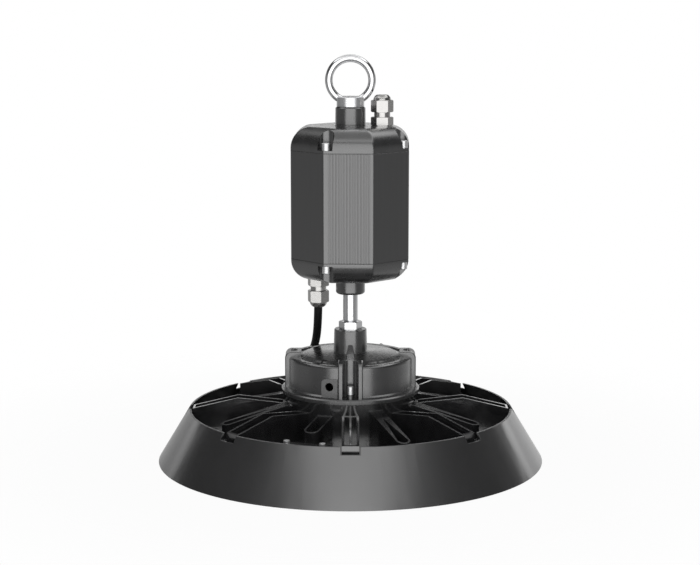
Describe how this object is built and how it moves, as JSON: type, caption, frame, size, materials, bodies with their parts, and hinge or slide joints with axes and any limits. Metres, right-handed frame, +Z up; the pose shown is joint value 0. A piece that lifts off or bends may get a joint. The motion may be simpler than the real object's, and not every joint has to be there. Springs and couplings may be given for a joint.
{
  "type": "high bay light",
  "caption": "High bay lamp with a hanging eye, octagonal driver box, link tube, round junction cover, finned LED module and conical shade",
  "frame": {"origin": "centre of the circle of the shade's bottom rim, on the plane of the rim", "axes": "+Z up along the lamp's axis, -Y the front seen in the picture, +X to the right in that view"},
  "size_m": [0.4, 0.4, 0.4186],
  "materials": {
    "polished_steel": "polished",
    "steel_screws": "bright",
    "nickel_brass": "nickel plated",
    "black_casting": "satin powder coat",
    "black_extrusion": "satin black",
    "black_heat_sink": "satin powder coat",
    "black_shade": "semi-gloss black",
    "cable_sheath": "matte",
    "seal_rubber": "matte",
    "circuit_board": "solder mask",
    "ferrite": "matte",
    "capacitor_cans": "sleeved",
    "terminal_plastic": "moulded",
    "led_board_white": "white solder mask",
    "led_phosphor": "phosphor",
    "lens_glass": "frosted"
  },
  "bodies": {
    "root": {"hanging_eye": "polished_steel", "driver_top_cap": "black_casting", "driver_body": "black_extrusion", "driver_bottom_cap": "black_casting", "top_cap_gasket": "seal_rubber", "bottom_cap_gasket": "seal_rubber", "top_cap_screws": "steel_screws", "bottom_cap_screws": "steel_screws", "driver_board": "circuit_board", "transformer": "ferrite", "capacitors": "capacitor_cans", "choke": "ferrite", "board_terminals": "terminal_plastic", "mains_gland_body": "nickel_brass", "mains_gland_nut": "nickel_brass", "mains_gland_seal": "seal_rubber", "output_gland_body": "nickel_brass", "output_gland_nut": "nickel_brass", "output_gland_seal": "seal_rubber", "module_gland_body": "nickel_brass", "module_gland_nut": "nickel_brass", "module_gland_seal": "seal_rubber", "output_cable": "cable_sheath", "link_tube": "polished_steel", "tube_lock_nut": "polished_steel", "module_cover": "black_casting", "cover_gasket": "seal_rubber", "cover_screws": "steel_screws", "terminal_block": "terminal_plastic", "heat_sink": "black_heat_sink", "led_board": "led_board_white", "led_board_screws": "steel_screws", "leds": "led_phosphor", "lens_gasket": "seal_rubber", "lens_plate": "lens_glass", "lens_ring": "black_casting", "lens_ring_screws": "steel_screws", "shade": "black_shade", "shade_screws": "steel_screws", "clamp_bar": "black_heat_sink", "clamp_bar_screws": "steel_screws"}
  },
  "joints": []
}
